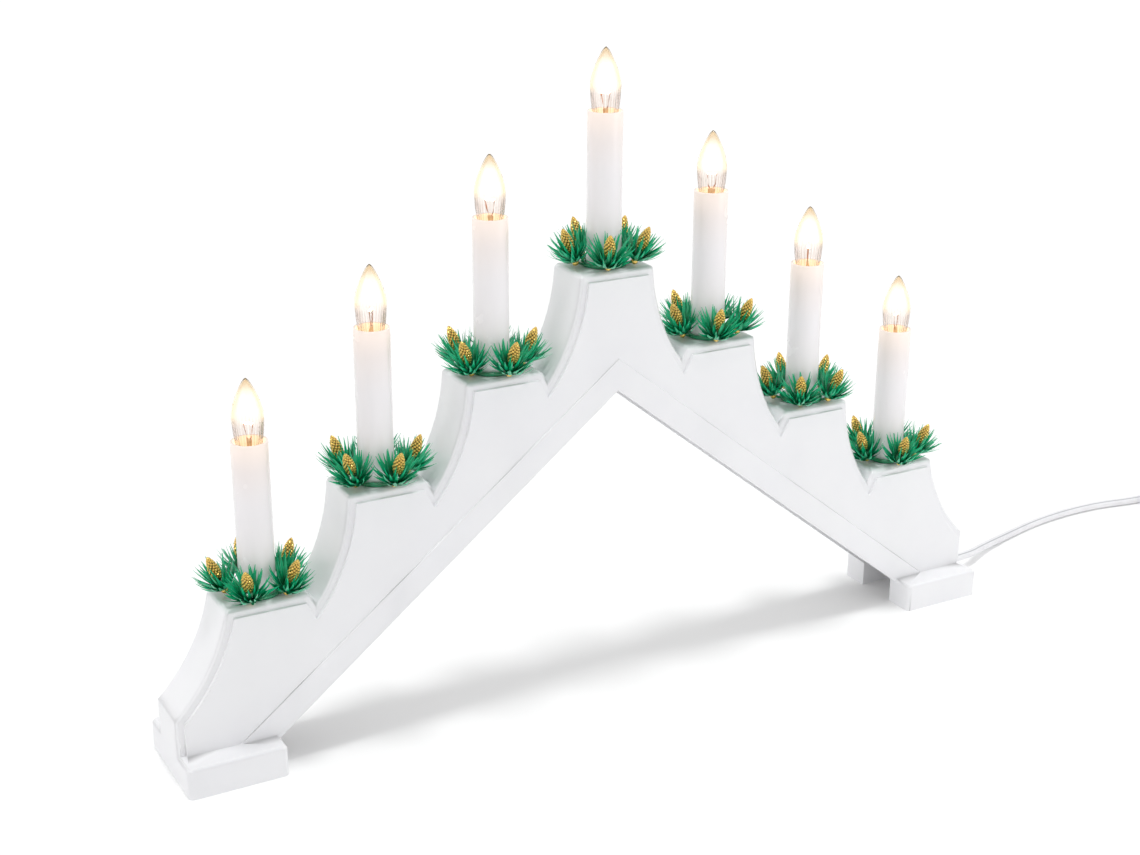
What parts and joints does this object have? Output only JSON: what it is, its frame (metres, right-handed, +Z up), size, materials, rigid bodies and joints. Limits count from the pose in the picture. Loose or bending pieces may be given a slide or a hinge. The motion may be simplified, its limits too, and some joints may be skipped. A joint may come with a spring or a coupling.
{
  "type": "candle arch",
  "caption": "Stepped window arch with electric candles on pedestals, a loose pine ring round each candle and a coiled mains cord with a plug.",
  "frame": {"origin": "middle of the arch on the floor it stands on", "axes": "+X along the arch towards the end where the cord leaves, -Y towards the viewer in front, +Z up"},
  "size_m": [0.708, 0.0843, 0.292],
  "materials": {
    "casing": "satin white moulding",
    "candle": "satin white tube",
    "holder": "plain off-white",
    "contact": "bright spring strip",
    "glass": "clear",
    "cap": "nickel-plated screw shell",
    "filament": "bare wire on a glass stem",
    "needle": "emerald green film",
    "cone": "gilt",
    "wire": "white insulation",
    "bush": "white",
    "screw": "zinc-plated",
    "cord": "smooth pale grey sheath",
    "plug": "moulded, pale grey-white",
    "pin": "nickel-plated"
  },
  "bodies": {
    "arch": {"arch_shell": "casing", "socket_contacts": "contact", "link_wires": "wire", "feed_wires": "wire", "cord_bush": "bush", "cord_clamp": "bush", "clamp_screws": "screw", "mains_cord": "cord", "cord_coil": "cord", "plug_body": "plug", "plug_pins": "pin", "candle_tube_1": "candle", "lamp_holder_1": "holder", "candle_tube_2": "candle", "lamp_holder_2": "holder", "candle_tube_3": "candle", "lamp_holder_3": "holder", "candle_tube_4": "candle", "lamp_holder_4": "holder", "candle_tube_5": "candle", "lamp_holder_5": "holder", "candle_tube_6": "candle", "lamp_holder_6": "holder", "candle_tube_7": "candle", "lamp_holder_7": "holder"},
    "lamp_1": {"lamp_glass_1": "glass", "lamp_cap_1": "cap", "lamp_mount_1": "filament"},
    "lamp_2": {"lamp_glass_2": "glass", "lamp_cap_2": "cap", "lamp_mount_2": "filament"},
    "lamp_3": {"lamp_glass_3": "glass", "lamp_cap_3": "cap", "lamp_mount_3": "filament"},
    "lamp_4": {"lamp_glass_4": "glass", "lamp_cap_4": "cap", "lamp_mount_4": "filament"},
    "lamp_5": {"lamp_glass_5": "glass", "lamp_cap_5": "cap", "lamp_mount_5": "filament"},
    "lamp_6": {"lamp_glass_6": "glass", "lamp_cap_6": "cap", "lamp_mount_6": "filament"},
    "lamp_7": {"lamp_glass_7": "glass", "lamp_cap_7": "cap", "lamp_mount_7": "filament"},
    "ring_1": {"pine_ring_1": "needle", "pine_cones_1": "cone"},
    "ring_2": {"pine_ring_2": "needle", "pine_cones_2": "cone"},
    "ring_3": {"pine_ring_3": "needle", "pine_cones_3": "cone"},
    "ring_4": {"pine_ring_4": "needle", "pine_cones_4": "cone"},
    "ring_5": {"pine_ring_5": "needle", "pine_cones_5": "cone"},
    "ring_6": {"pine_ring_6": "needle", "pine_cones_6": "cone"},
    "ring_7": {"pine_ring_7": "needle", "pine_cones_7": "cone"}
  },
  "joints": [
    {"name": "lamp_1_lift", "type": "slide", "parent": "arch", "child": "lamp_1", "axis": [0, 0, 1], "range_m": [0, 0.032]},
    {"name": "lamp_2_lift", "type": "slide", "parent": "arch", "child": "lamp_2", "axis": [0, 0, 1], "range_m": [0, 0.032]},
    {"name": "lamp_3_lift", "type": "slide", "parent": "arch", "child": "lamp_3", "axis": [0, 0, 1], "range_m": [0, 0.032]},
    {"name": "lamp_4_lift", "type": "slide", "parent": "arch", "child": "lamp_4", "axis": [0, 0, 1], "range_m": [0, 0.032]},
    {"name": "lamp_5_lift", "type": "slide", "parent": "arch", "child": "lamp_5", "axis": [0, 0, 1], "range_m": [0, 0.032]},
    {"name": "lamp_6_lift", "type": "slide", "parent": "arch", "child": "lamp_6", "axis": [0, 0, 1], "range_m": [0, 0.032]},
    {"name": "lamp_7_lift", "type": "slide", "parent": "arch", "child": "lamp_7", "axis": [0, 0, 1], "range_m": [0, 0.032]},
    {"name": "ring_1_lift", "type": "slide", "parent": "arch", "child": "ring_1", "axis": [0, 0, 1], "range_m": [0, 0.1]},
    {"name": "ring_2_lift", "type": "slide", "parent": "arch", "child": "ring_2", "axis": [0, 0, 1], "range_m": [0, 0.1]},
    {"name": "ring_3_lift", "type": "slide", "parent": "arch", "child": "ring_3", "axis": [0, 0, 1], "range_m": [0, 0.1]},
    {"name": "ring_4_lift", "type": "slide", "parent": "arch", "child": "ring_4", "axis": [0, 0, 1], "range_m": [0, 0.1]},
    {"name": "ring_5_lift", "type": "slide", "parent": "arch", "child": "ring_5", "axis": [0, 0, 1], "range_m": [0, 0.1]},
    {"name": "ring_6_lift", "type": "slide", "parent": "arch", "child": "ring_6", "axis": [0, 0, 1], "range_m": [0, 0.1]},
    {"name": "ring_7_lift", "type": "slide", "parent": "arch", "child": "ring_7", "axis": [0, 0, 1], "range_m": [0, 0.1]}
  ]
}
